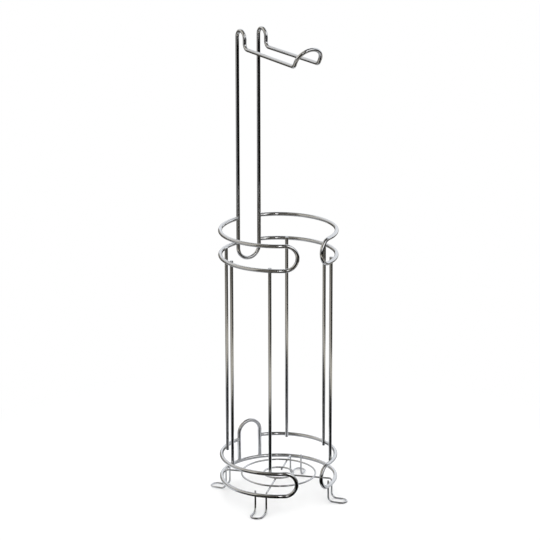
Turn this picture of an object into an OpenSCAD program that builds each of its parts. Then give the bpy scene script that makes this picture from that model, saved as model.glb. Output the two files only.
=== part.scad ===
// Free-standing toilet roll holder in chromed steel wire.
// A round cage stores spare rolls, and a bent arm above it carries the roll in use.
// Lengths are in millimetres. The floor is at zero height, the axis of the cage is the Z axis,
// and the arm and the gap for the fingers face the front, along -Y.

/* [Overall] */
// Height of the whole holder, from the floor to the top of the hooks
total_h = 609; // [540:1:700]
// Height of the basket's lower ring above the floor, to the middle of its wire
base_h = 25.5; // [23:0.5:40]

/* [Wire] */
// Diameter of the wire of the rings and the back hoop
ring_d = 5; // [3:0.1:6]
// Diameter of the upright rods
rod_d = 4.2; // [3:0.1:5]
// Diameter of the wire of the mast and its arm
mast_d = 4.8; // [3.5:0.1:6]
// Diameter of the thin wire of the feet and the base rings
base_d = 2.3; // [1.8:0.1:3]

/* [Cage] */
// Radius of the rings, to the middle of their wire
ring_r = 74; // [68:0.5:84]
// Distance between the two rings of the basket
basket_gap = 30.6; // [24:0.2:40]
// Distance between the two rings of the collar
collar_gap = 32.2; // [24:0.2:40]
// Length of the upright rods
upright_l = 275.8; // [220:0.2:330]
// Angle between the side rods and the rods before and behind them
upright_spread = 49; // [42:1:54]
// Angle from the front at which the rings turn back in a hairpin
hairpin_angle = 26; // [22:1:32]

/* [Mast and arm] */
// Distance between the two legs of the mast, which the back hoop has too
mast_gap = 31.5; // [26:0.5:40]
// Depth of the mast's closed end below the collar's lower ring
mast_drop = 23; // [20:1:40]
// Height of the back hoop above the basket's lower ring
hoop_h = 54; // [48:1:80]
// Radius of the hooks at the top of the mast
hook_r = 9; // [6:0.5:14]
// Depth of the arm below the top of the hooks
arm_drop = 21.8; // [20:0.2:40]
// Radius of the bend between hook and arm
arm_bend_r = 7; // [5:0.5:8]
// Length of the arm, from the hooks to the foot of the arch
arm_l = 118.8; // [90:0.2:140]
// Angle at which each side of the arm turns outwards
arm_splay = 0.9; // [0:0.1:3]
// Angle at which the arch rises from the arm
arch_rise = 60; // [45:1:80]
// Radius of the bend between arm and arch
arch_bend_r = 6; // [4:0.5:8]
// Straight length of each side of the arch
arch_side = 3.8; // [1:0.2:12]

/* [Base] */
// Radius of the outer ring of the base
base_outer_r = 48; // [40:0.5:56]
// Radius of the inner ring of the base
base_inner_r = 19.3; // [15:0.1:26]
// Length of the spokes' free ends inside the inner ring
spoke_over = 1.5; // [0:0.1:6]
// Height of the spokes above the basket's lower ring
spoke_lift = 2; // [1:0.1:3]
// Radius of the bend from each spoke into its leg
spoke_bend_r = 3.5; // [3:0.1:6]
// Width of each foot, between the middles of its two strands
foot_w = 14.8; // [10:0.2:20]
// Length of each foot, from the middle of its legs to its tip
foot_l = 24; // [20:0.2:40]
// Radius of the bends where the legs turn into the foot
foot_bend_r = 7; // [3:0.5:8]
// Height of each leg's free end above the basket's lower ring
stub_lift = 4; // [2.5:0.1:8]

/* [Hidden] */

// Depth to which wires that cross are pressed into each other by the weld
weld_in = 0.3;
// Depth to which the end of a wire is pressed into the side of another
butt_in = 0.8;
// Chamfer of the free wire ends
end_chamfer = 0.4;
// What an eased bend takes off the wire's diameter
bend_thinning = 0.02;
// Extra angle of an arc that is trimmed square
trim_turn = 2;
// Facets round a wire, and round a full turn of a bend
section_facets = 32;
turn_facets = 96;

// Heights of the wires' middles
basket_low_z = base_h;
basket_high_z = base_h + basket_gap;
collar_low_z = basket_high_z - ring_d / 2 + upright_l - ring_d / 2;
collar_high_z = collar_low_z + collar_gap;
mast_low_z = collar_low_z - mast_drop;
hook_z = total_h - mast_d / 2;
spoke_z = basket_low_z + spoke_lift;
base_ring_z = spoke_z + base_d - weld_in;
foot_z = base_d / 2;

// The legs of the mast and of the hoop stand on the circle of the rings
leg_angle = asin(mast_gap / 2 / ring_r);
leg_y = ring_r * cos(leg_angle);
// The rings end where they meet the side of a leg
collar_end_angle = asin((mast_gap / 2 + mast_d / 2 - butt_in) / ring_r);
basket_end_angle = asin((mast_gap / 2 + ring_d / 2 - butt_in) / ring_r);
hairpin_turn = 180 - hairpin_angle;

// Straight lengths of the mast's wire
mast_leg_l = hook_z - hook_r - mast_low_z - mast_gap / 2;
hook_leg_l = arm_drop - hook_r - arm_bend_r;
arch_bend_l = arch_bend_r * tan(arch_rise / 2);
arm_straight_l = arm_l - arm_bend_r - arch_bend_l;
// The two sides of the arch lie in slanted planes, and the last bend brings them together on the middle plane
arch_start_l = arch_bend_l + arch_side;
arch_turn = atan2(-cos(arm_splay), sin(arch_rise) * sin(arm_splay));
arch_close = 90 + asin(cos(arch_rise) * sin(arm_splay));
arch_half_w = mast_gap / 2 + (arm_l + arch_start_l * cos(arch_rise)) * sin(arm_splay);
arch_r = arch_half_w / sin(arch_close);

// The rods stand inside the rings
rod_r = ring_r - ring_d / 2 - rod_d / 2 + weld_in;
// The feet's legs stand inside the lower ring, which the bend from the spoke touches on its outer side
spoke_reach = spoke_bend_r + base_d / 2 + ring_d / 2 - weld_in;
spoke_bend_drop = max(0, spoke_bend_r - spoke_lift);
foot_leg_r = ring_r + spoke_bend_r - sqrt(spoke_reach * spoke_reach - spoke_bend_drop * spoke_bend_drop);
foot_turn = asin(foot_w / 2 / foot_leg_r);
spoke_start_r = base_inner_r - spoke_over;
spoke_l = foot_leg_r - spoke_bend_r - spoke_start_r;
foot_leg_l = spoke_z - spoke_bend_r - foot_z - foot_bend_r;
toe_l = foot_l - base_d / 2 - foot_w / 2 - foot_bend_r;
stub_l = basket_low_z + stub_lift - foot_z - foot_bend_r;

// Wire is made as a bender makes it. Each step starts at the end of the one before, with the wire
// running along its own +Z and the next bend towards its own +X. $wire_d is the wire's diameter.

// Feeds a straight length of wire
module feed(length) {
    cylinder(h = length, d = $wire_d, $fn = section_facets);
    translate([0, 0, length]) children();
}

// Goes to the far end of a bend
module past_bend(r, angle) {
    translate([r, 0, 0]) rotate([0, angle, 0]) translate([-r, 0, 0]) children();
}

// The arc of a bend, forward through a positive angle or back through a negative one
module arc(r, angle, thinning = 0) {
    translate([r, 0, 0]) rotate([90, 0, 180]) rotate_extrude(angle = angle, $fn = turn_facets)
        translate([r, 0]) circle(d = $wire_d - thinning, $fn = section_facets);
}

// Bends the wire. A bend in mid wire through or after an odd angle is eased: drawn back from its far end,
// a little long, and trimmed at its start, and a hair thinner, as wire is where it has been bent
module bend(r, angle, eased = false) {
    if (eased)
        difference() {
            past_bend(r, angle) arc(r, -angle - trim_turn, bend_thinning);
            translate([-$wire_d, -$wire_d, -2 * $wire_d]) cube(2 * $wire_d);
        }
    else
        arc(r, angle);
    past_bend(r, angle) children();
}

// Turns the direction of the next bend about the wire
module turn(angle) {
    rotate([0, 0, angle]) children();
}

// Finishes a free end with a chamfer
module free_end() {
    cylinder(h = end_chamfer, d1 = $wire_d, d2 = $wire_d - 2 * end_chamfer, $fn = section_facets);
}

// Starts a wire with a chamfered free end
module from_free_end() {
    mirror([0, 0, 1]) free_end();
    children();
}

// Makes a wire from its left half, trimmed at the middle plane, and its mirror image
module both_halves() {
    for (side = [0, 1])
        mirror([side, 0, 0]) intersection() {
            children();
            translate([-2 * total_h, -total_h, -total_h / 2]) cube(2 * total_h);
        }
}

// A closed ring of wire
module wire_ring(r, z, d) {
    translate([0, 0, z]) rotate_extrude($fn = 2 * turn_facets)
        translate([r, 0]) circle(d = d, $fn = section_facets);
}

// Both legs that stand on the circle of the rings, from a height upwards, to fit the ring ends against
module leg_pair(d, from_z) {
    for (side = [-1, 1])
        translate([side * mast_gap / 2, leg_y, from_z])
            cylinder(h = total_h, d = d, $fn = section_facets);
}

// Closed lower end, two legs, hooks, splayed arm and arch, all of one wire. Each half starts at the foot
// of its leg, with the closed end below and the rest above
module mast_and_arm() {
    $wire_d = mast_d;
    color("silver") both_halves() translate([-mast_gap / 2, leg_y, mast_low_z + mast_gap / 2]) {
        rotate([180, 0, 0])
            bend(mast_gap / 2, 90 + trim_turn);
        feed(mast_leg_l)
            turn(-90)
            bend(hook_r, 180)
            feed(hook_leg_l)
            turn(180 + arm_splay)
            bend(arm_bend_r, 90, eased = true)
            feed(arm_straight_l)
            bend(arch_bend_r, arch_rise, eased = true)
            feed(arch_side)
            turn(arch_turn)
            bend(arch_r, arch_close + trim_turn, eased = true);
    }
}

// Left side of a pair of rings, from the top of its hairpin: the upper ring back to where it starts, and
// the hairpin down into the lower ring
module ring_pair(z, gap, start_angle) {
    rotate([0, 0, hairpin_turn]) translate([0, ring_r, z]) rotate([0, -90, 0]) turn(-90) {
        arc(ring_r, start_angle - hairpin_turn);
        turn(-90)
            bend(gap / 2, 180)
            turn(90)
            children();
    }
}

// The lower ring of a collar runs back to the same leg
module collar_left() {
    $wire_d = ring_d;
    color("gainsboro") difference() {
        ring_pair(collar_high_z, collar_gap, collar_end_angle)
            bend(ring_r, hairpin_turn - collar_end_angle);
        leg_pair(mast_d, mast_low_z);
    }
}

module collar_right() {
    mirror([1, 0, 0]) collar_left();
}

// One rod, at an angle from the back towards the right
module upright(angle) {
    $wire_d = rod_d;
    color("silver") difference() {
        rotate([0, 0, -angle]) translate([0, rod_r, basket_high_z - ring_d / 2 + end_chamfer])
            from_free_end()
            feed(upright_l - 2 * end_chamfer)
            free_end();
        wire_ring(ring_r, basket_high_z, ring_d);
        wire_ring(ring_r, collar_low_z, ring_d);
    }
}

// Both basket rings are one wire: the lower ring runs round the back, under the hoop, from one hairpin to
// the other, and the ends of the upper ring meet the sides of the hoop
module basket_rings() {
    $wire_d = ring_d;
    color("gainsboro") both_halves() difference() {
        ring_pair(basket_high_z, basket_gap, basket_end_angle)
            bend(ring_r, hairpin_turn + trim_turn);
        leg_pair(ring_d, basket_low_z + ring_d);
    }
}

// The hoop stands on the basket's lower ring
module back_hoop() {
    $wire_d = ring_d;
    color("silver") difference() {
        both_halves() translate([-mast_gap / 2, leg_y, basket_low_z + ring_d / 2 - butt_in])
            feed(hoop_h - mast_gap / 2 - ring_d / 2 + butt_in)
            bend(mast_gap / 2, 90 + trim_turn);
        wire_ring(ring_r, basket_low_z, ring_d);
    }
}

module base_ring_outer() {
    color("silver") wire_ring(base_outer_r, base_ring_z, base_d);
}

module base_ring_inner() {
    color("silver") wire_ring(base_inner_r, base_ring_z, base_d);
}

// Spoke, leg, looped foot and stub of one thin wire, with the spoke at an angle from +X
module foot(angle) {
    $wire_d = base_d;
    color("silver") difference() {
        rotate([0, 0, angle]) translate([spoke_start_r, 0, spoke_z]) rotate([0, 90, 0])
            from_free_end()
            feed(spoke_l)
            bend(spoke_bend_r, 90)
            feed(foot_leg_l)
            turn(180 + foot_turn)
            bend(foot_bend_r, 90, eased = true)
            feed(toe_l)
            turn(90)
            bend(foot_w / 2, 180)
            feed(toe_l)
            turn(-90)
            bend(foot_bend_r, 90)
            feed(stub_l)
            free_end();
        wire_ring(ring_r, basket_low_z, ring_d);
        wire_ring(base_outer_r, base_ring_z, base_d);
        wire_ring(base_inner_r, base_ring_z, base_d);
    }
}

mast_and_arm();
collar_left();
collar_right();
upright(upright_spread - 90);  // upright_back_left
upright(-90);  // upright_left
upright(-90 - upright_spread);  // upright_front_left
upright(90 + upright_spread);  // upright_front_right
upright(90);  // upright_right
upright(90 - upright_spread);  // upright_back_right
basket_rings();
back_hoop();
base_ring_outer();
base_ring_inner();
foot(225);  // foot_front_left
foot(315);  // foot_front_right
foot(45);  // foot_back_right
foot(135);  // foot_back_left
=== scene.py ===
"""Free-standing toilet roll holder in chromed steel wire.

Every wire is bent along its own centre line from named sizes, in metres, and one Geometry Nodes tree gives
it its thickness. Sizes that the packed frame shows are measured from it, so each wire lies where its CAD
node is.
"""

import math

import bpy
from bpy.props import FloatProperty, FloatVectorProperty, IntProperty, PointerProperty
from mathutils import Matrix, Vector


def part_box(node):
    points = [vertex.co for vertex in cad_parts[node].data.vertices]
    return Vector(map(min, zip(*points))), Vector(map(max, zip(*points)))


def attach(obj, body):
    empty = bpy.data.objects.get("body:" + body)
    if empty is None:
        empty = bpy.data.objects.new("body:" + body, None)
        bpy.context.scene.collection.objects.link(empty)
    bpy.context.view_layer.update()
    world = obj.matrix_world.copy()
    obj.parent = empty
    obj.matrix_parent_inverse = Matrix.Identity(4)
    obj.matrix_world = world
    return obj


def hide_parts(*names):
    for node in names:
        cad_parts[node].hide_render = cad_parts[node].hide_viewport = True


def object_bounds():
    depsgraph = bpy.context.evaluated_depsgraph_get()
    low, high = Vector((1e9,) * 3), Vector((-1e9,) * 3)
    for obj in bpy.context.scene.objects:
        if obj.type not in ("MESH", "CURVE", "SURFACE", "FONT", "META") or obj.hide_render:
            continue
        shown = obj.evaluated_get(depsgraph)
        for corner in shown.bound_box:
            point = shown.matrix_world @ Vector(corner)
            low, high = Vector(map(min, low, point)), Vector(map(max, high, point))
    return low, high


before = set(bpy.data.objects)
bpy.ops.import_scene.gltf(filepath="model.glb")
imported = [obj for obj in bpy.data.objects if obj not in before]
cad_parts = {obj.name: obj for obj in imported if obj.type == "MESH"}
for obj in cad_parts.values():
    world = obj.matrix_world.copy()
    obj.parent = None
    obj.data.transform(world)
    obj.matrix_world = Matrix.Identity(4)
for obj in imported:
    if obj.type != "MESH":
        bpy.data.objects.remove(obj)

bl_info = {
    "name": "Wire Toilet Roll Holder",
    "version": (1, 0, 0),
    "blender": (4, 5, 0),
    "location": "View3D > Sidebar > Roll Holder",
    "description": "Bends, thickens and plates the wires of a free-standing toilet roll holder",
    "category": "Object",
}

CAD_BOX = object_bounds()
X, Y, Z = range(3)


def tenths(length):
    """A length to the nearest tenth of a millimetre: the frame's meshes lie a hair inside their curves."""
    return round(length, 4)


def low(node, axis):
    """The lowest place of a CAD node along an axis."""
    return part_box(node)[0][axis]


def high(node, axis):
    """The highest place of a CAD node along an axis."""
    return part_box(node)[1][axis]


def span(node, axis):
    """The size of a CAD node along an axis."""
    return tenths(high(node, axis) - low(node, axis))


# Wire diameters, radii and heights to the middle of each wire, as the frame has them
RING_D = span("back_hoop", Y)
ROD_D = span("upright_left", Y)
THIN_D = span("base_ring_outer", Z)
RING_R = tenths(-low("collar_left", X) - RING_D / 2)
BASKET_LOW_Z = tenths(low("basket_rings", Z) + RING_D / 2)
BASKET_HIGH_Z = tenths(high("basket_rings", Z) - RING_D / 2)
COLLAR_LOW_Z = tenths(low("collar_left", Z) + RING_D / 2)
COLLAR_HIGH_Z = tenths(high("collar_left", Z) - RING_D / 2)
ROD_R = tenths(-low("upright_left", X) - ROD_D / 2)
BASE_OUTER_R = tenths(span("base_ring_outer", X) / 2 - THIN_D / 2)
BASE_INNER_R = tenths(span("base_ring_inner", X) / 2 - THIN_D / 2)
BASE_RING_Z = tenths(high("base_ring_outer", Z) - THIN_D / 2)
HOOP_TOP_Z = tenths(high("back_hoop", Z) - RING_D / 2)
# The hoop's legs stand as far apart as the mast's, and all four on the rings' circle
MAST_GAP = span("back_hoop", X) - RING_D
LEG_Y = math.sqrt(RING_R**2 - (MAST_GAP / 2) ** 2)
MAST_D = tenths(2 * (high("mast_and_arm", Y) - LEG_Y))
MAST_LOW_Z = tenths(low("mast_and_arm", Z) + MAST_D / 2)
HOOK_Z = tenths(high("mast_and_arm", Z) - MAST_D / 2)

RIGHT_ANGLE = math.radians(90)
HALF_TURN = math.radians(180)
FULL_TURN = math.radians(360)

# Largest angle of a chord of a bend, and facets round each wire
BEND_STEP = math.radians(2.5)
ROUND_SIDES = 40
# How far from each end of a straight stretch its shading is pinned
PIN = 0.0006
# Angle between two faces above which their edge is sharp
SHARP_EDGE = math.radians(30)
# How far a swept wire's box may be from the box of its CAD node, whose welded ends are trimmed
SEAT_SLACK = 0.0015
# Width of the camera's sensor, in millimetres
SENSOR_W = 36


def length_property(name, default, description):
    """A length that the user may change."""
    return FloatProperty(
        name=name,
        description=description,
        default=default,
        min=0,
        subtype="DISTANCE",
        unit="LENGTH",
        precision=5,
    )


def shift_property(name, default, description):
    """A length that may also be negative."""
    return FloatProperty(name=name, description=description, default=default, unit="LENGTH", precision=5)


def angle_property(name, default, description):
    """An angle that the user may change, with its default in degrees."""
    return FloatProperty(
        name=name, description=description, default=math.radians(default), subtype="ANGLE", unit="ROTATION"
    )


def share_property(name, default, description):
    """A value from nothing to one."""
    return FloatProperty(name=name, description=description, default=default, min=0, max=1, subtype="FACTOR")


def colour_property(name, default, description):
    """A colour that the user may change."""
    return FloatVectorProperty(
        name=name, description=description, default=default, size=3, min=0, max=1, subtype="COLOR"
    )


class WireSizes(bpy.types.PropertyGroup):
    """Thicknesses of the wires"""

    ring_d: length_property("Rings", RING_D, "Diameter of the wire of the rings and the back hoop")
    rod_d: length_property("Rods", ROD_D, "Diameter of the upright rods")
    mast_d: length_property("Mast", MAST_D, "Diameter of the wire of the mast and its arm")
    thin_d: length_property("Base", THIN_D, "Diameter of the thin wire of the feet and the base rings")
    weld_in: length_property("Weld depth", 0.0003, "Depth to which crossing wires are pressed together")
    butt_in: length_property("End weld depth", 0.0008, "Depth to which a wire's end sinks into another")
    end_chamfer: length_property("End chamfer", 0.0004, "Chamfer of the free wire ends")
    sides: IntProperty(name="Sides", description="Facets round each wire", default=ROUND_SIDES, min=8, max=96)


class CageSizes(bpy.types.PropertyGroup):
    """Sizes of the round cage"""

    ring_r: length_property("Ring radius", RING_R, "Radius of the rings, to the middle of their wire")
    rod_r: length_property("Rod radius", ROD_R, "Distance of the rods from the cage's axis")
    hairpin_angle: angle_property("Hairpin angle", 26, "Angle from the front at which the rings turn back")
    upright_spread: angle_property("Rod spread", 49, "Angle between a side rod and the rods beside it")


class MastSizes(bpy.types.PropertyGroup):
    """Sizes of the mast, its hooks and its arm"""

    gap: length_property("Leg distance", MAST_GAP, "Distance between the legs of the mast and of the hoop")
    hook_r: length_property("Hook radius", 0.009, "Radius of the hooks at the top")
    arm_drop: length_property("Arm drop", 0.0218, "Depth of the arm below the top of the hooks")
    arm_bend_r: length_property("Arm bend", 0.007, "Radius of the bend between hook and arm")
    arm_l: length_property("Arm length", 0.1188, "Length of the arm, from the hooks to the foot of the arch")
    arm_splay: angle_property("Arm splay", 0.9, "Angle at which each side of the arm turns outwards")
    arch_rise: angle_property("Arch rise", 60, "Angle at which the arch rises from the arm")
    arch_bend_r: length_property("Arch bend", 0.006, "Radius of the bend between arm and arch")
    arch_side: length_property("Arch side", 0.0038, "Straight length of each side of the arch")


class BaseSizes(bpy.types.PropertyGroup):
    """Sizes of the base rings, the spokes and the feet"""

    outer_r: length_property("Outer ring", BASE_OUTER_R, "Radius of the outer ring of the base")
    inner_r: length_property("Inner ring", BASE_INNER_R, "Radius of the inner ring of the base")
    spoke_over: length_property("Spoke end", 0.0015, "Length of a spoke's free end inside the inner ring")
    spoke_bend_r: length_property("Spoke bend", 0.0035, "Radius of the bend from a spoke into its leg")
    foot_w: length_property("Foot width", 0.0148, "Width of a foot, between the middles of its strands")
    foot_l: length_property("Foot length", 0.0236, "Length of a foot, from the middle of its legs to its tip")
    foot_bend_r: length_property("Foot bend", 0.007, "Radius of the bends where the legs turn into the foot")
    stub_lift: length_property("Stub height", 0.004, "Height of a leg's free end over the lower ring")


class PlatingFinish(bpy.types.PropertyGroup):
    """Look of the chrome plate"""

    thick_colour: colour_property("Thick wire", (0.80, 0.80, 0.81), "Colour of the plate on the thick wires")
    thin_colour: colour_property("Thin wire", (0.78, 0.78, 0.79), "Colour of the plate on the thin wire")
    smudge_colour: colour_property("Smudge", (0.62, 0.61, 0.59), "Colour of the plate under a faint smudge")
    roughness: share_property("Roughness", 0.02, "Roughness of the clean plate")
    smudges: share_property("Smudges", 0.25, "How much faint smudges dull the plate")


class StudioSetup(bpy.types.PropertyGroup):
    """Place and lens of the camera"""

    azimuth: angle_property("Azimuth", -31.898, "Angle of the camera round the holder, from the front")
    elevation: angle_property("Elevation", 17.084, "Angle of the camera above the horizon")
    roll: angle_property("Roll", -0.1, "Turn of the camera about its own line of sight")
    distance: length_property("Distance", 3.4681, "Distance from the axis, along the line of sight")
    aim_z: length_property("Aim height", 0.2965, "Height of the axis point that the camera is set from")
    slide_right: shift_property("Slide", -0.010715, "Shift of the camera to its right")
    slide_up: shift_property("Lift", 0.008841, "Shift of the camera upwards")
    lens: FloatProperty(
        name="Lens",
        description=f"Focal length on a {SENSOR_W} mm sensor",
        default=181.304,
        min=1,
        unit="CAMERA",
    )


class BentWire:
    """The centre line of a wire, as a bender makes it. Each step starts at the end of the one before, with
    the wire running along its own +Z and the next bend towards its own +X."""

    def __init__(self, place, chamfer=0.0):
        self.place = place.copy()
        self.chamfer = chamfer
        self.points = []
        if chamfer:
            self.mark(0, -chamfer)
        self.mark(0, 0)

    def mark(self, x, z):
        """Adds a point in the wire's own plane of bending."""
        self.points.append(self.place @ Vector((x, 0, z)))

    def feed(self, length):
        """Feeds a straight length of wire. Its shading is pinned near both ends, where it is long enough."""
        if length > 3 * PIN:
            self.mark(0, PIN)
            self.mark(0, length - PIN)
        self.mark(0, length)
        self.place = self.place @ Matrix.Translation((0, 0, length))
        return self

    def turn(self, angle):
        """Turns the direction of the next bend about the wire."""
        self.place = self.place @ Matrix.Rotation(angle, 4, "Z")
        return self

    def bend(self, radius, angle):
        """Bends the wire through an angle."""
        steps = max(2, math.ceil(angle / BEND_STEP))
        for step in range(1, steps + 1):
            part = angle * step / steps
            self.mark(radius - radius * math.cos(part), radius * math.sin(part))
        centre = Matrix.Translation((radius, 0, 0))
        self.place = self.place @ centre @ Matrix.Rotation(angle, 4, "Y") @ centre.inverted()
        return self

    def free_end(self):
        """Ends the wire with its chamfer."""
        self.mark(0, self.chamfer)
        return self


def mirrored(points):
    """The right half of a symmetric wire, from the middle plane back to its start."""
    return [Vector((-p.x, p.y, p.z)) for p in reversed(points)]


def closed_from_half(points):
    """A closed loop from its left half, which starts and ends on the middle plane."""
    return points + mirrored(points)[1:-1]


def open_from_half(points):
    """An open wire from its left half, which ends on the middle plane."""
    return points + mirrored(points)[1:]


def level_start(radius, z, angle):
    """Start of a level ring: at an angle from the back, running forward on the left, bending to the axis."""
    return (
        Matrix.Rotation(angle, 4, "Z")
        @ Matrix.Translation((0, radius, z))
        @ Matrix.Rotation(-RIGHT_ANGLE, 4, "Y")
        @ Matrix.Rotation(-RIGHT_ANGLE, 4, "Z")
    )


def full_ring(radius, z):
    """The centre line of a closed ring."""
    return BentWire(level_start(radius, z, 0)).bend(radius, FULL_TURN).points[:-1]


def ring_pair(cage, low_z, high_z, start_angle, end_turn):
    """Left half of a pair of rings: forward on the upper, down in a hairpin, and back on the lower."""
    hairpin_turn = HALF_TURN - cage.hairpin_angle
    wire = BentWire(level_start(cage.ring_r, high_z, start_angle))
    wire.bend(cage.ring_r, hairpin_turn - start_angle).turn(-RIGHT_ANGLE)
    wire.bend((high_z - low_z) / 2, HALF_TURN).turn(RIGHT_ANGLE)
    return wire.bend(cage.ring_r, hairpin_turn - end_turn).points


def input_of(group, name):
    """The identifier of a tree's input."""
    for item in group.interface.items_tree:
        if item.item_type == "SOCKET" and item.in_out == "INPUT" and item.name == name:
            return item.identifier
    raise KeyError(f"{group.name} has no input named {name}")


def add_node(tree, kind, **settings):
    """Adds a node and sets its properties."""
    node = tree.nodes.new(kind)
    for name, value in settings.items():
        setattr(node, name, value)
    return node


def maths(tree, operation, *values, clamp=False):
    """The result of a Math node. Each of its values is a number or another node's output."""
    node = add_node(tree, "ShaderNodeMath", operation=operation, use_clamp=clamp)
    for socket, value in zip(node.inputs, values):
        if isinstance(value, bpy.types.NodeSocket):
            tree.links.new(value, socket)
        else:
            socket.default_value = value
    return node.outputs[0]


def eased(tree, value, start, end):
    """A value eased from nothing at its start to one at its end."""
    step = add_node(tree, "ShaderNodeMapRange", interpolation_type="SMOOTHSTEP")
    tree.links.new(value, step.inputs["Value"])
    step.inputs["From Min"].default_value = start
    step.inputs["From Max"].default_value = end
    return step.outputs["Result"]


def noise(tree, place, scale, detail):
    """Noise over a vector."""
    texture = add_node(tree, "ShaderNodeTexNoise")
    tree.links.new(place, texture.inputs["Vector"])
    texture.inputs["Scale"].default_value = scale
    texture.inputs["Detail"].default_value = detail
    return texture.outputs["Fac"]


def swept_wire_tree():
    """Geometry Nodes tree that gives a centre line its round wire, chamfered at free ends, and keeps the
    direction round the wire and the length along it for the drawing lines in its finish."""
    name = "Swept wire"
    if name in bpy.data.node_groups:
        return bpy.data.node_groups[name]
    tree = bpy.data.node_groups.new(name, "GeometryNodeTree")
    sockets = tree.interface
    sockets.new_socket("Geometry", in_out="INPUT", socket_type="NodeSocketGeometry")
    for title, kind, default in (
        ("Diameter", "NodeSocketFloat", RING_D),
        ("End chamfer", "NodeSocketFloat", 0.0),
        ("Sides", "NodeSocketInt", ROUND_SIDES),
        ("Sharp edge angle", "NodeSocketFloat", SHARP_EDGE),
    ):
        sockets.new_socket(title, in_out="INPUT", socket_type=kind).default_value = default
    sockets.new_socket("Finish", in_out="INPUT", socket_type="NodeSocketMaterial")
    sockets.new_socket("Geometry", in_out="OUTPUT", socket_type="NodeSocketGeometry")
    link = tree.links.new
    given = add_node(tree, "NodeGroupInput")
    result = add_node(tree, "NodeGroupOutput")

    line = add_node(tree, "GeometryNodeMeshToCurve")
    link(given.outputs["Geometry"], line.inputs["Mesh"])
    along = add_node(tree, "GeometryNodeSplineParameter")
    keep_along = add_node(tree, "GeometryNodeCaptureAttribute", domain="POINT")
    keep_along.capture_items.new("FLOAT", "Along")
    link(line.outputs["Curve"], keep_along.inputs["Geometry"])
    link(along.outputs["Length"], keep_along.inputs["Along"])

    # The end points shrink by the chamfer, as a share of the radius
    ends = add_node(tree, "GeometryNodeCurveEndpointSelection")
    radius = maths(tree, "DIVIDE", given.outputs["Diameter"], 2)
    chamfer_share = maths(tree, "DIVIDE", given.outputs["End chamfer"], radius)
    taper = add_node(tree, "GeometryNodeSetCurveRadius")
    link(keep_along.outputs["Geometry"], taper.inputs["Curve"])
    link(ends.outputs["Selection"], taper.inputs["Selection"])
    link(maths(tree, "SUBTRACT", 1, chamfer_share), taper.inputs["Radius"])

    outline = add_node(tree, "GeometryNodeCurvePrimitiveCircle", mode="RADIUS")
    link(given.outputs["Sides"], outline.inputs["Resolution"])
    link(radius, outline.inputs["Radius"])
    place = add_node(tree, "GeometryNodeInputPosition")
    keep_round = add_node(tree, "GeometryNodeCaptureAttribute", domain="POINT")
    keep_round.capture_items.new("VECTOR", "Round")
    link(outline.outputs["Curve"], keep_round.inputs["Geometry"])
    link(place.outputs["Position"], keep_round.inputs["Round"])

    sweep = add_node(tree, "GeometryNodeCurveToMesh")
    link(taper.outputs["Curve"], sweep.inputs["Curve"])
    link(keep_round.outputs["Geometry"], sweep.inputs["Profile Curve"])
    sweep.inputs["Fill Caps"].default_value = True

    # Around the wire and along it, as one vector that noise can be stretched over
    split = add_node(tree, "ShaderNodeSeparateXYZ")
    link(keep_round.outputs["Round"], split.inputs[0])
    joined = add_node(tree, "ShaderNodeCombineXYZ")
    link(split.outputs["X"], joined.inputs["X"])
    link(split.outputs["Y"], joined.inputs["Y"])
    link(keep_along.outputs["Along"], joined.inputs["Z"])
    store = add_node(tree, "GeometryNodeStoreNamedAttribute", data_type="FLOAT_VECTOR", domain="POINT")
    store.inputs["Name"].default_value = "drawn_wire"
    link(sweep.outputs["Mesh"], store.inputs["Geometry"])
    link(joined.outputs[0], store.inputs["Value"])

    smooth = add_node(tree, "GeometryNodeSetShadeSmooth", domain="FACE")
    link(store.outputs["Geometry"], smooth.inputs[0])
    edge_angle = add_node(tree, "GeometryNodeInputMeshEdgeAngle")
    sharp = add_node(tree, "FunctionNodeCompare", data_type="FLOAT", operation="GREATER_THAN")
    link(edge_angle.outputs["Unsigned Angle"], sharp.inputs[0])
    link(given.outputs["Sharp edge angle"], sharp.inputs[1])
    crisp = add_node(tree, "GeometryNodeSetShadeSmooth", domain="EDGE")
    link(smooth.outputs[0], crisp.inputs[0])
    link(sharp.outputs["Result"], crisp.inputs["Selection"])
    crisp.inputs["Shade Smooth"].default_value = False

    real = add_node(tree, "GeometryNodeRealizeInstances")
    link(crisp.outputs[0], real.inputs[0])
    finish = add_node(tree, "GeometryNodeSetMaterial")
    link(real.outputs[0], finish.inputs["Geometry"])
    link(given.outputs["Finish"], finish.inputs["Material"])
    link(finish.outputs["Geometry"], result.inputs["Geometry"])
    return tree


def swept(name, points, closed, diameter, chamfer, sides, finish):
    """A wire of a diameter along a centre line, as a plain mesh."""
    count = len(points)
    edges = [(i, i + 1) for i in range(count - 1)]
    if closed:
        edges.append((count - 1, 0))
    line = bpy.data.meshes.new(name)
    line.from_pydata([tuple(p) for p in points], edges, [])
    wire = bpy.data.objects.new(name, line)
    bpy.context.scene.collection.objects.link(wire)
    tree = swept_wire_tree()
    modifier = wire.modifiers.new("Swept wire", "NODES")
    modifier.node_group = tree
    values = {"Diameter": diameter, "End chamfer": chamfer, "Sides": sides, "Finish": finish}
    for title, value in values.items():
        modifier[input_of(tree, title)] = value
    depsgraph = bpy.context.evaluated_depsgraph_get()
    plain = bpy.data.meshes.new_from_object(wire.evaluated_get(depsgraph), depsgraph=depsgraph)
    wire.modifiers.clear()
    wire.data = plain
    bpy.data.meshes.remove(line)
    plain.name = name
    if not plain.polygons:
        raise RuntimeError(f"the sweep of {name} is empty")
    return wire


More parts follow.
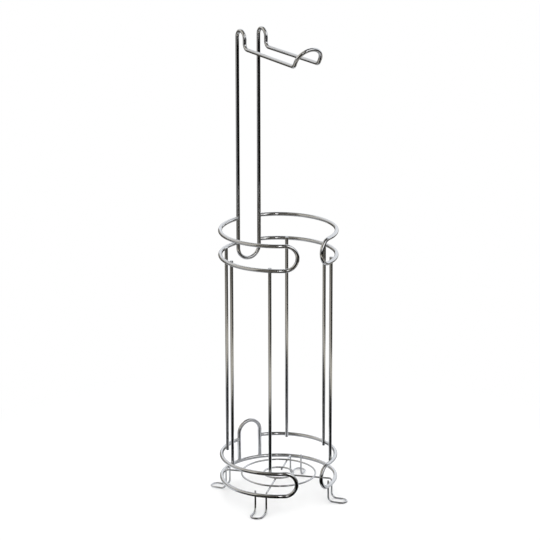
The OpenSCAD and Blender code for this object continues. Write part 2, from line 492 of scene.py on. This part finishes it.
def seat(wire, node):
    """Sets a wire in the frame in place of its CAD node, after a check that it lies where the node does."""
    bpy.context.view_layer.update()
    corners = [Vector(c) for c in wire.bound_box]
    for axis in (X, Y, Z):
        lowest = min(c[axis] for c in corners)
        highest = max(c[axis] for c in corners)
        if abs(lowest - low(node, axis)) > SEAT_SLACK or abs(highest - high(node, axis)) > SEAT_SLACK:
            raise RuntimeError(f"{wire.name} isn't where {node} is along axis {axis}")
    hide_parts(node)
    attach(wire, "root")


# The drawing die leaves fine lines about 0.3 mm apart and many millimetres long, the plate has slow waves,
# and hands leave smudges. Their scales are for noise over one metre.
LINE_SCALE = 3200
LINE_DETAIL = 2
LINE_STRETCH = (1, 1, 0.03)
WAVE_SCALE = 130
WAVE_DETAIL = 1
SMUDGE_SCALE = 45
SMUDGE_DETAIL = 4
# Noise at which a smudge begins, and at which it is full
SMUDGE_FROM = 0.5
SMUDGE_TO = 0.75
# What a full smudge and the lines add to the roughness, and the lines' height as a share of the waves'
SMUDGE_ROUGHNESS = 0.12
LINE_ROUGHNESS = 0.02
LINE_HEIGHT_SHARE = 0.01
BUMP_STRENGTH = 0.1
BUMP_DISTANCE = 0.00003


def plate_group():
    """Shader group for chrome plate on drawn wire: drawing lines along the wire, slow waves in the plate and
    faint smudges. It puts out a colour, a roughness and a height that change over the surface."""
    name = "Plate on drawn wire"
    if name in bpy.data.node_groups:
        return bpy.data.node_groups[name]
    group = bpy.data.node_groups.new(name, "ShaderNodeTree")
    sockets = group.interface
    for title, kind, default in (
        ("Wire lines", "NodeSocketVector", (0, 0, 0)),
        ("Place", "NodeSocketVector", (0, 0, 0)),
        ("Clean colour", "NodeSocketColor", (0.8, 0.8, 0.8, 1)),
        ("Smudge colour", "NodeSocketColor", (0.6, 0.6, 0.6, 1)),
        ("Clean roughness", "NodeSocketFloat", 0.05),
        ("Smudges", "NodeSocketFloat", 0.3),
    ):
        sockets.new_socket(title, in_out="INPUT", socket_type=kind).default_value = default
    sockets.new_socket("Color", in_out="OUTPUT", socket_type="NodeSocketColor")
    sockets.new_socket("Roughness", in_out="OUTPUT", socket_type="NodeSocketFloat")
    sockets.new_socket("Height", in_out="OUTPUT", socket_type="NodeSocketFloat")
    link = group.links.new
    given = add_node(group, "NodeGroupInput")
    result = add_node(group, "NodeGroupOutput")

    stretch = add_node(group, "ShaderNodeVectorMath", operation="MULTIPLY")
    link(given.outputs["Wire lines"], stretch.inputs[0])
    stretch.inputs[1].default_value = LINE_STRETCH
    lines = noise(group, stretch.outputs[0], LINE_SCALE, LINE_DETAIL)
    waves = noise(group, given.outputs["Place"], WAVE_SCALE, WAVE_DETAIL)
    spots = noise(group, given.outputs["Place"], SMUDGE_SCALE, SMUDGE_DETAIL)
    smudge = maths(group, "MULTIPLY", eased(group, spots, SMUDGE_FROM, SMUDGE_TO), given.outputs["Smudges"])

    colour = add_node(group, "ShaderNodeMix", data_type="RGBA")
    link(smudge, colour.inputs["Factor"])
    link(given.outputs["Clean colour"], colour.inputs["A"])
    link(given.outputs["Smudge colour"], colour.inputs["B"])
    link(colour.outputs["Result"], result.inputs["Color"])
    dull = maths(group, "MULTIPLY_ADD", smudge, SMUDGE_ROUGHNESS, given.outputs["Clean roughness"])
    link(maths(group, "MULTIPLY_ADD", lines, LINE_ROUGHNESS, dull), result.inputs["Roughness"])
    link(maths(group, "MULTIPLY_ADD", lines, LINE_HEIGHT_SHARE, waves), result.inputs["Height"])
    return group


def chrome(name, colour, finish):
    """Bright chrome plate on drawn steel wire."""
    if name in bpy.data.materials:
        return bpy.data.materials[name]
    material = bpy.data.materials.new(name)
    material.use_nodes = True
    tree = material.node_tree
    link = tree.links.new
    shader = tree.nodes["Principled BSDF"]
    shader.inputs["Metallic"].default_value = 1
    surface = add_node(tree, "ShaderNodeGroup", node_tree=plate_group())
    lines = add_node(tree, "ShaderNodeAttribute", attribute_name="drawn_wire")
    place = add_node(tree, "ShaderNodeTexCoord")
    link(lines.outputs["Vector"], surface.inputs["Wire lines"])
    link(place.outputs["Object"], surface.inputs["Place"])
    surface.inputs["Clean colour"].default_value = (*colour, 1)
    surface.inputs["Smudge colour"].default_value = (*finish.smudge_colour, 1)
    surface.inputs["Clean roughness"].default_value = finish.roughness
    surface.inputs["Smudges"].default_value = finish.smudges
    bump = add_node(tree, "ShaderNodeBump")
    bump.inputs["Strength"].default_value = BUMP_STRENGTH
    bump.inputs["Distance"].default_value = BUMP_DISTANCE
    link(surface.outputs["Color"], shader.inputs["Base Color"])
    link(surface.outputs["Roughness"], shader.inputs["Roughness"])
    link(surface.outputs["Height"], bump.inputs["Height"])
    link(bump.outputs["Normal"], shader.inputs["Normal"])
    material.diffuse_color = (*colour, 1)
    return material


def thick_chrome(scene):
    """The finish of the rings, the rods, the hoop and the mast."""
    finish = scene.plating_finish
    return chrome("chromed_wire", finish.thick_colour, finish)


def thin_chrome(scene):
    """The finish of the feet and the base rings."""
    finish = scene.plating_finish
    return chrome("chromed_thin_wire", finish.thin_colour, finish)


class HOLDER_OT_mast_and_arm(bpy.types.Operator):
    """Bends the mast and its arm of one closed wire: lower end, legs, hooks, splayed arm and arch"""

    bl_idname = "holder.mast_and_arm"
    bl_label = "Mast and arm"

    def execute(self, context):
        scene = context.scene
        wires, mast = scene.wire_sizes, scene.mast_sizes
        hook_leg_l = mast.arm_drop - mast.hook_r - mast.arm_bend_r
        leg_l = HOOK_Z - mast.hook_r - MAST_LOW_Z - mast.gap / 2
        arch_bend_l = mast.arch_bend_r * math.tan(mast.arch_rise / 2)
        arm_straight_l = mast.arm_l - mast.arm_bend_r - arch_bend_l
        splay, rise = mast.arm_splay, mast.arch_rise
        # The arch's sides lie in slanted planes, and its last bend brings them together in the middle
        arch_turn = math.atan2(-math.cos(splay), math.sin(rise) * math.sin(splay))
        arch_close = RIGHT_ANGLE + math.asin(math.cos(rise) * math.sin(splay))
        arch_reach = mast.arm_l + (arch_bend_l + mast.arch_side) * math.cos(rise)
        arch_r = (mast.gap / 2 + arch_reach * math.sin(splay)) / math.sin(arch_close)
        start = Matrix.Translation((0, LEG_Y, MAST_LOW_Z)) @ Matrix.Rotation(-RIGHT_ANGLE, 4, "Y")
        wire = BentWire(start).bend(mast.gap / 2, RIGHT_ANGLE).feed(leg_l)
        wire.turn(-RIGHT_ANGLE).bend(mast.hook_r, HALF_TURN).feed(hook_leg_l)
        wire.turn(HALF_TURN + splay).bend(mast.arm_bend_r, RIGHT_ANGLE).feed(arm_straight_l)
        wire.bend(mast.arch_bend_r, rise).feed(mast.arch_side)
        wire.turn(arch_turn).bend(arch_r, arch_close)
        loop = closed_from_half(wire.points)
        piece = swept("mast_with_arm", loop, True, wires.mast_d, 0, wires.sides, thick_chrome(scene))
        seat(piece, "mast_and_arm")
        return {"FINISHED"}


class HOLDER_OT_collars(bpy.types.Operator):
    """Bends the upper band's two wires, each from its mast leg round a hairpin and back to the same leg"""

    bl_idname = "holder.collars"
    bl_label = "Collars"

    def execute(self, context):
        scene = context.scene
        wires, cage, mast = scene.wire_sizes, scene.cage_sizes, scene.mast_sizes
        end_angle = math.asin((mast.gap / 2 + wires.mast_d / 2 - wires.butt_in) / cage.ring_r)
        left = ring_pair(cage, COLLAR_LOW_Z, COLLAR_HIGH_Z, end_angle, end_angle)
        for side, points in (("left", left), ("right", mirrored(left))):
            name = f"collar_wire_{side}"
            piece = swept(name, points, False, wires.ring_d, 0, wires.sides, thick_chrome(scene))
            seat(piece, f"collar_{side}")
        return {"FINISHED"}


class HOLDER_OT_rods(bpy.types.Operator):
    """Cuts the six straight upright rods inside the rings"""

    bl_idname = "holder.rods"
    bl_label = "Upright rods"

    def execute(self, context):
        scene = context.scene
        wires, cage = scene.wire_sizes, scene.cage_sizes
        spread, chamfer, finish = cage.upright_spread, wires.end_chamfer, thick_chrome(scene)
        turns = {"back_": RIGHT_ANGLE - spread, "": RIGHT_ANGLE, "front_": RIGHT_ANGLE + spread}
        for part, turn in turns.items():
            for side, way in (("left", 1), ("right", -1)):
                node = f"upright_{part}{side}"
                place = Matrix.Translation((0, cage.rod_r, low(node, Z) + chamfer))
                wire = BentWire(Matrix.Rotation(way * turn, 4, "Z") @ place, chamfer)
                wire.feed(span(node, Z) - 2 * chamfer).free_end()
                name = f"rod_{part}{side}"
                piece = swept(name, wire.points, False, wires.rod_d, chamfer, wires.sides, finish)
                seat(piece, node)
        return {"FINISHED"}


class HOLDER_OT_basket(bpy.types.Operator):
    """Bends the lower band's two rings of one wire, with a hairpin on each side of the front gap"""

    bl_idname = "holder.basket"
    bl_label = "Basket rings"

    def execute(self, context):
        scene = context.scene
        wires, cage, mast = scene.wire_sizes, scene.cage_sizes, scene.mast_sizes
        start_angle = math.asin((mast.gap / 2 + wires.ring_d / 2 - wires.butt_in) / cage.ring_r)
        points = open_from_half(ring_pair(cage, BASKET_LOW_Z, BASKET_HIGH_Z, start_angle, 0))
        piece = swept("basket_wire", points, False, wires.ring_d, 0, wires.sides, thick_chrome(scene))
        seat(piece, "basket_rings")
        return {"FINISHED"}


class HOLDER_OT_hoop(bpy.types.Operator):
    """Bends the arched hoop that stands on the basket's lower ring at the back"""

    bl_idname = "holder.hoop"
    bl_label = "Back hoop"

    def execute(self, context):
        scene = context.scene
        wires, mast = scene.wire_sizes, scene.mast_sizes
        foot_z = BASKET_LOW_Z + wires.ring_d / 2 - wires.butt_in
        wire = BentWire(Matrix.Translation((-mast.gap / 2, LEG_Y, foot_z)))
        wire.feed(HOOP_TOP_Z - mast.gap / 2 - foot_z).bend(mast.gap / 2, RIGHT_ANGLE)
        points = open_from_half(wire.points)
        piece = swept("hoop_wire", points, False, wires.ring_d, 0, wires.sides, thick_chrome(scene))
        seat(piece, "back_hoop")
        return {"FINISHED"}


class HOLDER_OT_base_rings(bpy.types.Operator):
    """Bends the two closed rings of thin wire that carry the rolls"""

    bl_idname = "holder.base_rings"
    bl_label = "Base rings"

    def execute(self, context):
        scene = context.scene
        wires, base = scene.wire_sizes, scene.base_sizes
        for part, radius in (("outer", base.outer_r), ("inner", base.inner_r)):
            ring = full_ring(radius, BASE_RING_Z)
            piece = swept(f"base_wire_{part}", ring, True, wires.thin_d, 0, wires.sides, thin_chrome(scene))
            seat(piece, f"base_ring_{part}")
        return {"FINISHED"}


class HOLDER_OT_feet(bpy.types.Operator):
    """Bends the four feet, each a spoke, a leg, a loop on the floor and a stub of one thin wire"""

    bl_idname = "holder.feet"
    bl_label = "Feet"

    def execute(self, context):
        scene = context.scene
        wires, cage, base = scene.wire_sizes, scene.cage_sizes, scene.base_sizes
        chamfer, finish = wires.end_chamfer, thin_chrome(scene)
        thin_r, ring_half = wires.thin_d / 2, wires.ring_d / 2
        spoke_z = BASE_RING_Z - wires.thin_d + wires.weld_in
        floor_z = thin_r
        # The bend from spoke to leg touches the lower ring from inside
        reach = base.spoke_bend_r + thin_r + ring_half - wires.weld_in
        drop = max(0, base.spoke_bend_r - (spoke_z - BASKET_LOW_Z))
        leg_r = cage.ring_r + base.spoke_bend_r - math.sqrt(reach**2 - drop**2)
        start_r = base.inner_r - base.spoke_over
        spoke_l = leg_r - base.spoke_bend_r - start_r
        leg_l = spoke_z - base.spoke_bend_r - floor_z - base.foot_bend_r
        toe_l = base.foot_l - thin_r - base.foot_w / 2 - base.foot_bend_r
        stub_l = BASKET_LOW_Z + base.stub_lift - floor_z - base.foot_bend_r
        # A foot's loop is turned a little, so that both of its legs stand on one circle
        toe_turn = HALF_TURN + math.asin(base.foot_w / 2 / leg_r)
        # Directions of the spokes, in degrees from +X
        spokes = {"back_right": 45, "back_left": 135, "front_left": 225, "front_right": 315}
        for part, angle in spokes.items():
            start = (
                Matrix.Rotation(math.radians(angle), 4, "Z")
                @ Matrix.Translation((start_r, 0, spoke_z))
                @ Matrix.Rotation(RIGHT_ANGLE, 4, "Y")
            )
            wire = BentWire(start, chamfer).feed(spoke_l).bend(base.spoke_bend_r, RIGHT_ANGLE).feed(leg_l)
            wire.turn(toe_turn).bend(base.foot_bend_r, RIGHT_ANGLE).feed(toe_l)
            wire.turn(RIGHT_ANGLE).bend(base.foot_w / 2, HALF_TURN).feed(toe_l)
            wire.turn(-RIGHT_ANGLE).bend(base.foot_bend_r, RIGHT_ANGLE).feed(stub_l).free_end()
            name = f"foot_wire_{part}"
            piece = swept(name, wire.points, False, wires.thin_d, chamfer, wires.sides, finish)
            seat(piece, f"foot_{part}")
        return {"FINISHED"}


def stage_object(name, points, faces, material):
    """A flat or curved sheet of the stage."""
    mesh = bpy.data.meshes.new(name)
    mesh.from_pydata(points, [], faces)
    mesh.materials.append(material)
    sheet = bpy.data.objects.new(name, mesh)
    bpy.context.scene.collection.objects.link(sheet)
    return sheet


def on_plan(radius, azimuth, z):
    """A point at a distance from the axis, in the direction of a camera azimuth."""
    return (radius * math.sin(azimuth), -radius * math.cos(azimuth), z)


# Largest angle of a flat stretch of a studio card, in degrees
CARD_STEP = 5


def studio_card(name, near, far, turn_from, turn_to, near_tone, far_tone):
    """A card in the studio that shows only in reflections, swept round the axis. Near and far are its two
    edges, as (distance, height), each with its tone, and it spans from one azimuth to the other, in
    degrees."""
    steps = math.ceil((turn_to - turn_from) / CARD_STEP)
    turns = [math.radians(turn_from + (turn_to - turn_from) * i / steps) for i in range(steps + 1)]
    points = [on_plan(near[0], a, near[1]) for a in turns] + [on_plan(far[0], a, far[1]) for a in turns]
    faces = [(i, i + 1, steps + 2 + i, steps + 1 + i) for i in range(steps)]
    card = stage_object(name, points, faces, card_material())
    tones = card.data.attributes.new("tone", "FLOAT_COLOR", "POINT")
    for i, point_tone in enumerate(tones.data):
        point_tone.color = (*(near_tone if i <= steps else far_tone), 1)
    card.visible_camera = False
    card.visible_diffuse = False
    card.visible_transmission = False
    card.visible_volume_scatter = False
    card.visible_shadow = False


def white_for_sight_and_gloss(tree):
    """One for rays that show the background: from the camera, off metal and through glass."""
    path = add_node(tree, "ShaderNodeLightPath")
    seen = maths(tree, "ADD", path.outputs["Is Camera Ray"], path.outputs["Is Glossy Ray"])
    return maths(tree, "ADD", seen, path.outputs["Is Transmission Ray"], clamp=True)


def mixed(tree, share, first, second):
    """A shader that goes from the first to the second."""
    mix = add_node(tree, "ShaderNodeMixShader")
    for socket, given in zip(mix.inputs, (share, first, second)):
        tree.links.new(given, socket)
    return mix.outputs[0]


# Strength of the sky that lights the holder, where the background that is seen has 1
SKY_STRENGTH = 1.05


def light_world(scene):
    """A soft even sky, with a white background where it is seen."""
    world = bpy.data.worlds.new("Soft studio")
    scene.world = world
    world.use_nodes = True
    tree = world.node_tree
    soft = tree.nodes["Background"]
    white = add_node(tree, "ShaderNodeBackground")
    for background, strength in ((soft, SKY_STRENGTH), (white, 1)):
        background.inputs["Color"].default_value = (1, 1, 1, 1)
        background.inputs["Strength"].default_value = strength
    sky = mixed(tree, white_for_sight_and_gloss(tree), soft.outputs[0], white.outputs[0])
    tree.links.new(sky, tree.nodes["World Output"].inputs["Surface"])


def bare_material(name):
    """A material whose tree holds only its output."""
    material = bpy.data.materials.new(name)
    material.use_nodes = True
    material.node_tree.nodes.remove(material.node_tree.nodes["Principled BSDF"])
    return material


# The floor's reach from the axis, its tone, and the distances over which it fades into the background
FLOOR_REACH = 12
FLOOR_WHITE = 0.97
FADE_FROM = 0.12
FADE_TO = 0.5


def floor_material():
    """White floor that keeps the holder's soft shadow near it and runs out into the white background."""
    material = bare_material("floor_white")
    tree = material.node_tree
    matt = add_node(tree, "ShaderNodeBsdfDiffuse")
    matt.inputs["Color"].default_value = (*grey(FLOOR_WHITE), 1)
    white = add_node(tree, "ShaderNodeEmission")
    white.inputs["Strength"].default_value = 1
    place = add_node(tree, "ShaderNodeTexCoord")
    distance = add_node(tree, "ShaderNodeVectorMath", operation="LENGTH")
    tree.links.new(place.outputs["Object"], distance.inputs[0])
    fade = eased(tree, distance.outputs["Value"], FADE_FROM, FADE_TO)
    seen = maths(tree, "MULTIPLY", fade, white_for_sight_and_gloss(tree))
    surface = mixed(tree, seen, matt.outputs[0], white.outputs[0])
    tree.links.new(surface, tree.nodes["Material Output"].inputs["Surface"])
    return material


def card_material():
    """The glow of a card, from the tones at its edges."""
    name = "card_tones"
    if name in bpy.data.materials:
        return bpy.data.materials[name]
    material = bare_material(name)
    tree = material.node_tree
    tones = add_node(tree, "ShaderNodeAttribute", attribute_name="tone")
    glow = add_node(tree, "ShaderNodeEmission")
    tree.links.new(tones.outputs["Color"], glow.inputs["Color"])
    tree.links.new(glow.outputs[0], tree.nodes["Material Output"].inputs["Surface"])
    return material


def grey(value):
    """A plain grey."""
    return (value, value, value)


def cool(value):
    """A grey with a trace of blue."""
    return (value * 0.96, value * 0.99, value * 1.03)


def warm(value):
    """A grey with a trace of yellow."""
    return (value * 1.05, value, value * 0.88)


BLACK = warm(0.003)
# Tone of the painted lamp highlights, brighter than white
HIGHLIGHT_TONE = grey(2.4)

# Height of the cards on the floor, a hair above it, and their edges' distances from the axis
CARD_Z = 0.0002
CAGE_D = 0.085
GAP_D = 0.2
BAND_D = 0.47
MIDDLE_D = 0.64
RIM_D = 1.0
END_D = 1.35
FAR_D = 2.5
WALL_D = 4
# Cards on the floor as (name, near and far distance, from and to azimuth, near and far tone)
FLOOR_CARDS = (
    # The two cards under the cage are painted shade: they stand in for the holder's shadow on the floor
    # beneath it, and show only in reflections
    ("card_near", 0, CAGE_D, 0, 285, cool(0.3), cool(0.4)),
    ("card_near_front", 0, CAGE_D, -75, 0, BLACK, BLACK),
    ("card_gap_front", CAGE_D, BAND_D, -95, 42, BLACK, BLACK),
    ("card_gap_side", CAGE_D, GAP_D, 42, 265, cool(0.8), cool(0.7)),
    ("card_gap_back", GAP_D, BAND_D, 42, 265, cool(0.3), cool(0.35)),
    ("card_band_front", BAND_D, MIDDLE_D, -110, 110, warm(0.48), warm(0.48)),
    ("card_band_back", BAND_D, MIDDLE_D, 110, 250, cool(0.5), warm(0.2)),
    ("card_middle_left", MIDDLE_D, RIM_D, -120, -35, warm(0.44), warm(0.3)),
    ("card_middle_dark", MIDDLE_D, RIM_D, -155, -120, warm(0.25), warm(0.08)),
    ("card_middle_right", MIDDLE_D, RIM_D, -35, 205, warm(0.05), warm(0.04)),
    ("card_rim_left", RIM_D, END_D, -120, -80, warm(0.24), warm(0.2)),
    ("card_rim_dark", RIM_D, END_D, -155, -120, warm(0.03), warm(0.03)),
    ("card_rim", RIM_D, END_D, -80, 205, warm(0.09), warm(0.02)),
    ("card_end_left", END_D, WALL_D, -130, -80, cool(0.42), warm(0.3)),
    ("card_end_front", END_D, WALL_D, -80, 95, BLACK, BLACK),
    ("card_end_right", END_D, WALL_D, 95, 148, warm(0.45), cool(0.75)),
    ("card_end_back", END_D, FAR_D, 148, 230, warm(0.01), warm(0.06)),
    ("card_end_far", FAR_D, WALL_D, 148, 230, warm(0.12), cool(0.35)),
)

# Heights at which the wall changes its tone, in general and at the far end, and of the ceiling
WALL_Z = 1.4
WALL_FAR_Z = 1.5
CEILING_Z = 5.5
# Cards on the wall as (name, lower and upper height, from and to azimuth, lower and upper tone)
WALL_CARDS = (
    ("card_wall_front", CARD_Z, WALL_Z, -75, 0, BLACK, BLACK),
    ("card_wall_right", CARD_Z, WALL_Z, 0, 75, BLACK, cool(0.3)),
    ("card_wall_left", CARD_Z, WALL_Z, -145, -75, warm(0.2), cool(0.7)),
    ("card_wall_back", CARD_Z, CEILING_Z, 75, 165, cool(0.88), cool(0.88)),
    ("card_wall_far", CARD_Z, WALL_FAR_Z, 165, 215, warm(0.2), warm(0.35)),
    ("card_upper_back", WALL_FAR_Z, CEILING_Z, 165, 215, grey(0.75), grey(0.7)),
    ("card_upper_left", WALL_Z, CEILING_Z, -145, -75, warm(0.65), warm(0.3)),
    ("card_upper_front", WALL_Z, CEILING_Z, -75, -10, warm(0.15), warm(0.12)),
    ("card_upper_right", WALL_Z, CEILING_Z, 45, 75, cool(0.4), warm(0.12)),
)

# Two narrow glowing strips that stand just before the wall, in the form of the wall's cards: painted lamp
# highlights, which show only in reflections and light nothing
HIGHLIGHT_D = 3.9
HIGHLIGHT_CARDS = (
    ("card_lamp_left", 0.5, 2.8, -31, -26, HIGHLIGHT_TONE, HIGHLIGHT_TONE),
    ("card_lamp_right", 0.8, 3.6, -6, -1, HIGHLIGHT_TONE, HIGHLIGHT_TONE),
)

# Distance from the axis at which the ceiling changes its tone
CEILING_D = 1.8
# Cards on the ceiling, in the form of the floor's, but from the wall inwards
CEILING_CARDS = (
    ("card_ceiling_left", WALL_D, CEILING_D, -165, -60, warm(0.4), warm(0.5)),
    ("card_ceiling_right", WALL_D, CEILING_D, -60, 195, warm(0.06), warm(0.05)),
    ("card_ceiling_middle", CEILING_D, 0, -180, 180, warm(0.05), warm(0.03)),
)

# Softboxes as (name, place, side, watts)
SOFTBOXES = (
    ("key_softbox", (-0.9, -1.2, 1.9), 1.2, 7),
    ("top_softbox", (0.3, 0.4, 2.0), 1.4, 4),
)
# Distance up to which the camera sees
CLIP_END = 20


class HOLDER_OT_stage(bpy.types.Operator):
    """Lays the floor and the studio's cards, and sets the lights and the camera"""

    bl_idname = "holder.stage"
    bl_label = "Stage"

    def execute(self, context):
        scene = context.scene
        scene.view_settings.view_transform = "Standard"
        light_world(scene)
        corners = [(x * FLOOR_REACH, y * FLOOR_REACH, 0) for x, y in ((-1, -1), (1, -1), (1, 1), (-1, 1))]
        stage_object("floor", corners, [(0, 1, 2, 3)], floor_material())
        for name, near, far, *look in FLOOR_CARDS:
            studio_card(name, (near, CARD_Z), (far, CARD_Z), *look)
        for distance, cards in ((WALL_D, WALL_CARDS), (HIGHLIGHT_D, HIGHLIGHT_CARDS)):
            for name, lower, upper, *look in cards:
                studio_card(name, (distance, lower), (distance, upper), *look)
        for name, outer, inner, *look in CEILING_CARDS:
            studio_card(name, (outer, CEILING_Z), (inner, CEILING_Z), *look)
        for softbox in SOFTBOXES:
            self.add_light(*softbox)
        self.add_camera(scene)
        return {"FINISHED"}

    def add_light(self, name, place, size, watts):
        """A square softbox that faces the holder's middle."""
        lamp = bpy.data.lights.new(name, "AREA")
        lamp.size = size
        lamp.energy = watts
        light = bpy.data.objects.new(name, lamp)
        bpy.context.scene.collection.objects.link(light)
        light.location = place
        light.visible_glossy = False
        aim = Vector((0, 0, CAD_BOX[1].z / 2)) - Vector(place)
        light.rotation_euler = aim.to_track_quat("-Z", "Y").to_euler()

    def add_camera(self, scene):
        """The camera at the photograph's angle."""
        studio = scene.studio_setup
        a, e, roll = studio.azimuth, studio.elevation, studio.roll
        back = Vector((math.sin(a) * math.cos(e), -math.cos(a) * math.cos(e), math.sin(e)))
        level_right = Vector((math.cos(a), math.sin(a), 0))
        level_up = back.cross(level_right)
        right = math.cos(roll) * level_right + math.sin(roll) * level_up
        up = math.cos(roll) * level_up - math.sin(roll) * level_right
        place = Vector((0, 0, studio.aim_z)) + right * studio.slide_right + up * studio.slide_up
        place += back * studio.distance
        camera = bpy.data.cameras.new("photo_camera")
        camera.sensor_width = SENSOR_W
        camera.lens = studio.lens
        camera.clip_end = CLIP_END
        view = bpy.data.objects.new("photo_camera", camera)
        scene.collection.objects.link(view)
        axes = Matrix((right, up, back)).transposed()
        view.matrix_world = Matrix.Translation(place) @ axes.to_4x4()
        scene.camera = view


OPERATORS = (
    HOLDER_OT_mast_and_arm,
    HOLDER_OT_collars,
    HOLDER_OT_rods,
    HOLDER_OT_basket,
    HOLDER_OT_hoop,
    HOLDER_OT_base_rings,
    HOLDER_OT_feet,
    HOLDER_OT_stage,
)
SETTINGS = {
    "wire_sizes": WireSizes,
    "cage_sizes": CageSizes,
    "mast_sizes": MastSizes,
    "base_sizes": BaseSizes,
    "plating_finish": PlatingFinish,
    "studio_setup": StudioSetup,
}


class HOLDER_PT_panel(bpy.types.Panel):
    """Sizes of the roll holder and the steps that make it"""

    bl_idname = "HOLDER_PT_panel"
    bl_label = "Roll Holder"
    bl_space_type = "VIEW_3D"
    bl_region_type = "UI"
    bl_category = "Roll Holder"

    def draw(self, context):
        layout = self.layout
        for name, group in SETTINGS.items():
            box = layout.box()
            box.label(text=group.__doc__)
            settings = getattr(context.scene, name)
            for key in group.__annotations__:
                box.prop(settings, key)
        for operator in OPERATORS:
            layout.operator(operator.bl_idname)


CLASSES = (*SETTINGS.values(), *OPERATORS, HOLDER_PT_panel)


def register():
    """Registers the classes and hangs the settings on the scene."""
    for item in CLASSES:
        bpy.utils.register_class(item)
    for name, group in SETTINGS.items():
        setattr(bpy.types.Scene, name, PointerProperty(type=group))


def unregister():
    """Takes the settings and the classes away again."""
    for name in SETTINGS:
        delattr(bpy.types.Scene, name)
    for item in reversed(CLASSES):
        bpy.utils.unregister_class(item)


def main():
    """Makes the whole holder and its stage."""
    register()
    for operator in OPERATORS:
        group, step = operator.bl_idname.split(".")
        getattr(getattr(bpy.ops, group), step)()


if __name__ == "__main__":
    main()
